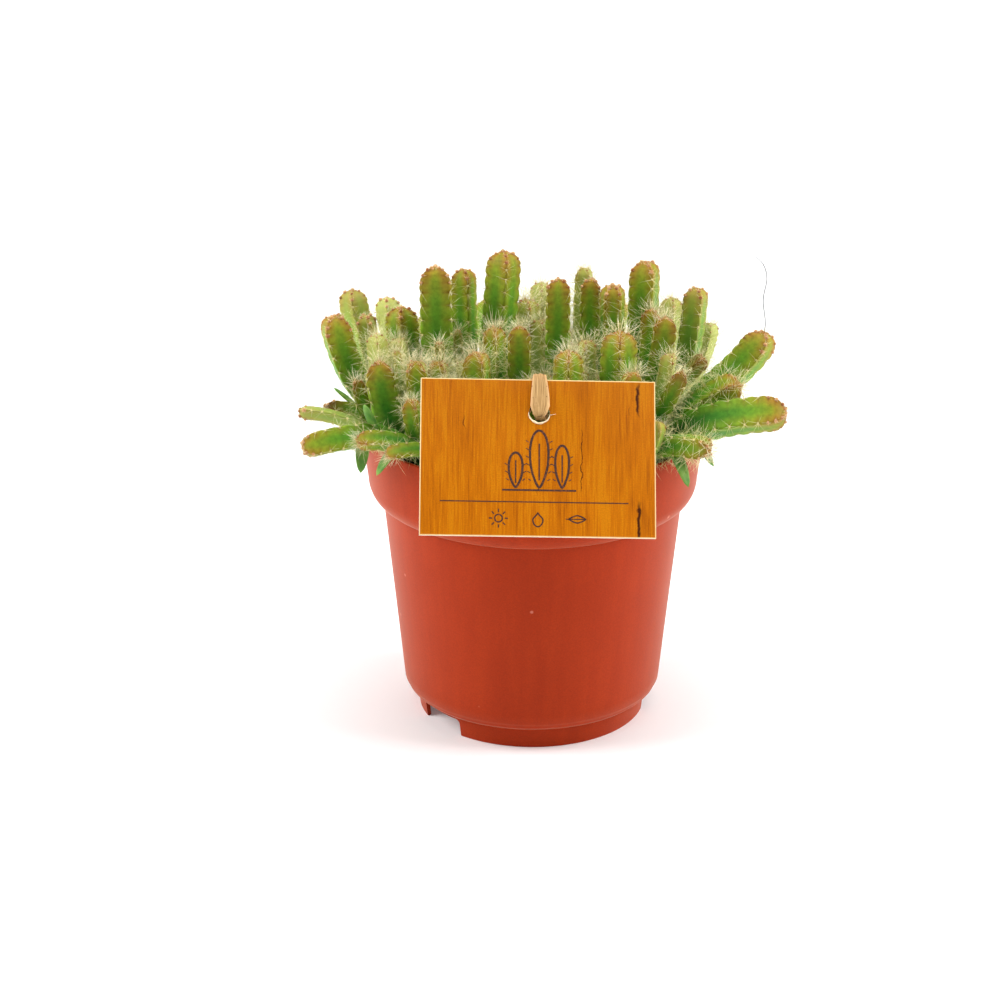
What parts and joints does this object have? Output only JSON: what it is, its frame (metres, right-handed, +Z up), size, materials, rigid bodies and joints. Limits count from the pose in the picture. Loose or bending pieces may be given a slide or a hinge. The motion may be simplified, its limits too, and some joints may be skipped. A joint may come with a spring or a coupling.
{
  "type": "potted dragon fruit cactus",
  "caption": "Round nursery pot sown full of young ribbed dragon fruit cactus stems in soil, with a wood-look card tag leaning on its rim, tied on with raffia.",
  "frame": {"origin": "on the pot's axis, at the level that its foot ring stands on", "axes": "+Z up the pot, -Y towards the front with the tag, +X to the right seen from the front"},
  "size_m": [0.1689, 0.1447, 0.1686],
  "materials": {
    "pot_plastic": "injection-moulded polypropylene, satin terracotta",
    "potting_soil": "dark crumbly peat",
    "cactus_stem": "waxy green flesh, orange-brown at the tips",
    "tag_card": "printed card, orange wood look",
    "raffia": "dry natural raffia"
  },
  "bodies": {
    "root": {"pot": "pot_plastic", "soil": "potting_soil", "seedling_01": "cactus_stem", "seedling_02": "cactus_stem", "seedling_03": "cactus_stem", "seedling_04": "cactus_stem", "seedling_05": "cactus_stem", "seedling_06": "cactus_stem", "seedling_07": "cactus_stem", "seedling_08": "cactus_stem", "seedling_09": "cactus_stem", "seedling_10": "cactus_stem", "seedling_11": "cactus_stem", "seedling_12": "cactus_stem", "seedling_13": "cactus_stem", "seedling_14": "cactus_stem", "seedling_15": "cactus_stem", "seedling_16": "cactus_stem", "seedling_17": "cactus_stem", "seedling_18": "cactus_stem", "seedling_19": "cactus_stem", "seedling_20": "cactus_stem", "seedling_21": "cactus_stem", "seedling_22": "cactus_stem", "seedling_23": "cactus_stem", "seedling_24": "cactus_stem", "seedling_25": "cactus_stem", "seedling_26": "cactus_stem", "seedling_27": "cactus_stem", "seedling_28": "cactus_stem", "seedling_29": "cactus_stem", "seedling_30": "cactus_stem", "seedling_31": "cactus_stem", "seedling_32": "cactus_stem", "seedling_33": "cactus_stem", "seedling_34": "cactus_stem", "seedling_35": "cactus_stem", "seedling_36": "cactus_stem", "seedling_37": "cactus_stem", "seedling_38": "cactus_stem", "seedling_39": "cactus_stem", "seedling_40": "cactus_stem", "seedling_41": "cactus_stem", "seedling_42": "cactus_stem", "seedling_43": "cactus_stem", "seedling_44": "cactus_stem", "seedling_45": "cactus_stem", "seedling_46": "cactus_stem", "seedling_47": "cactus_stem", "seedling_48": "cactus_stem", "seedling_49": "cactus_stem", "seedling_50": "cactus_stem", "seedling_51": "cactus_stem", "seedling_52": "cactus_stem", "seedling_53": "cactus_stem", "seedling_54": "cactus_stem", "seedling_55": "cactus_stem", "seedling_56": "cactus_stem", "tag": "tag_card", "tag_tie": "raffia"}
  },
  "joints": []
}
